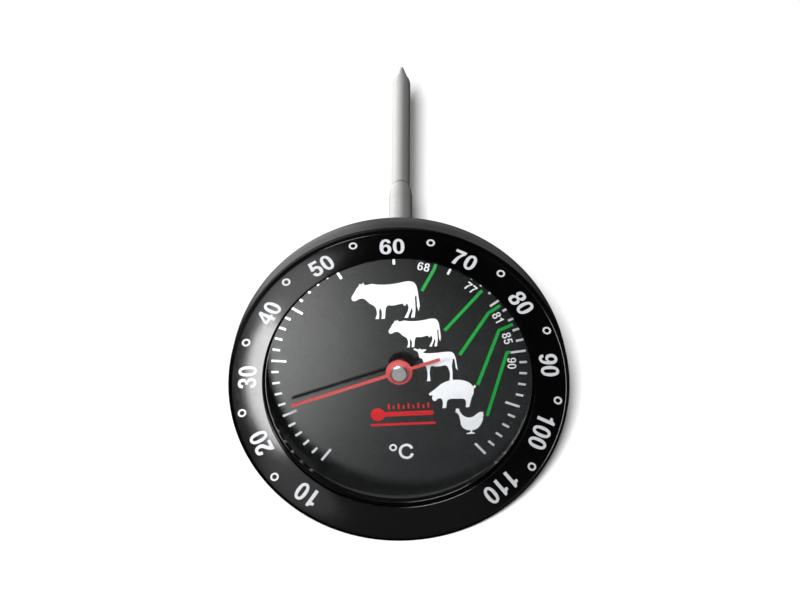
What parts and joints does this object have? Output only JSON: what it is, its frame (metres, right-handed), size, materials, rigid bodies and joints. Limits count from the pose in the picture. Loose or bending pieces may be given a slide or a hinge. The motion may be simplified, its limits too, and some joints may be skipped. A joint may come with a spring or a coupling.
{
  "type": "meat thermometer",
  "caption": "Dial meat thermometer: round black head with a sloping number ring, glass, printed dial and red needle on a bimetal shaft, and a stepped steel probe.",
  "frame": {"origin": "on the probe's axis, at the end of the collar, where the bare probe begins", "axes": "+Y along the probe towards its point, the dial faces -Y, +Z towards the top of the dial, +X to the right of someone reading the dial"},
  "size_m": [0.072, 0.176, 0.072],
  "materials": {
    "bezel_black": "polished black",
    "clear_glass": "clear, polished",
    "soft_seal": "matte silicone",
    "spacer_black": "matte black",
    "dial_grey": "satin dark grey lacquer with printed marks",
    "plated_steel": "plain plated sheet",
    "case_grey": "satin dark grey",
    "stainless": "fine drawn finish",
    "brass": "turned",
    "bimetal": "rolled strip",
    "needle_red": "satin red lacquer",
    "hub_bright": "turned, satin",
    "print_white": "white printing ink",
    "print_green": "green printing ink",
    "print_red": "red printing ink"
  },
  "bodies": {
    "head": {"bezel_ring": "bezel_black", "front_lens": "clear_glass", "lens_gasket": "soft_seal", "spacer_ring": "spacer_black", "dial_plate": "dial_grey", "dial_carrier": "plated_steel", "rear_case": "case_grey", "case_gasket": "soft_seal", "stem_collar": "stainless", "collar_seal": "soft_seal", "lock_washer": "plated_steel", "stem_nut": "brass", "stem_tube": "stainless", "stem_sleeve": "stainless", "stem_tip": "stainless", "front_bush": "brass", "guide_bushes": "brass", "coil_anchor": "brass", "bimetal_coil": "bimetal"},
    "pointer": {"pointer_needle": "needle_red", "pointer_hub": "hub_bright", "pointer_shaft": "stainless", "coil_collar": "brass"}
  },
  "joints": [
    {"name": "pointer_turn", "type": "hinge", "parent": "head", "child": "pointer", "pos_m": [0, 0, 0], "axis": [0, 1, 0], "range_deg": [-33.6, 246.4], "stiffness_Nm_per_rad": 0.0005, "deforming": ["bimetal_coil"]}
  ]
}
